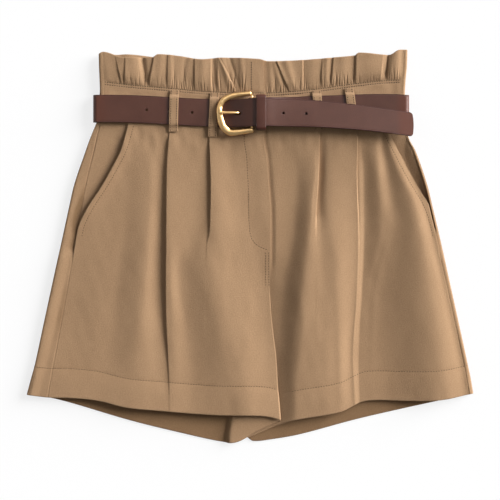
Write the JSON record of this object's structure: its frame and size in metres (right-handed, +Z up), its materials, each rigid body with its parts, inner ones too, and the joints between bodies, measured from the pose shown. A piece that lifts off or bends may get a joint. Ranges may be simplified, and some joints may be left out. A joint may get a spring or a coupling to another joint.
{
  "type": "gathered waist shorts",
  "caption": "Paperbag shorts laid flat: frilled gathered waist, knife pleats, slanted pockets, turned hems and a leather belt with a C-shaped buckle.",
  "frame": {"origin": "middle of the outline, on the surface that the shorts lie on", "axes": "+X across the shorts to the wearer's left, +Y to the waist, +Z up out of the front"},
  "size_m": [0.4926, 0.4328, 0.0241],
  "materials": {
    "khaki_twill": "matte cotton twill with a fine diagonal weave",
    "belt_leather": "semi-gloss dark brown leather with a fine grain",
    "buckle_brass": "softly hammered gold-toned metal"
  },
  "bodies": {
    "root": {"right_front": "khaki_twill", "left_front": "khaki_twill", "right_back": "khaki_twill", "left_back": "khaki_twill", "right_hip_facing": "khaki_twill", "left_hip_facing": "khaki_twill", "right_waist_frill": "khaki_twill", "left_waist_frill": "khaki_twill", "back_waist_frill": "khaki_twill", "front_belt_loop_1": "khaki_twill", "front_belt_loop_2": "khaki_twill", "front_belt_loop_3": "khaki_twill", "front_belt_loop_4": "khaki_twill", "back_belt_loop_1": "khaki_twill", "back_belt_loop_2": "khaki_twill", "back_belt_loop_3": "khaki_twill", "belt_strap": "belt_leather", "belt_keeper": "belt_leather", "buckle_frame": "buckle_brass", "buckle_prong": "buckle_brass"}
  },
  "joints": []
}
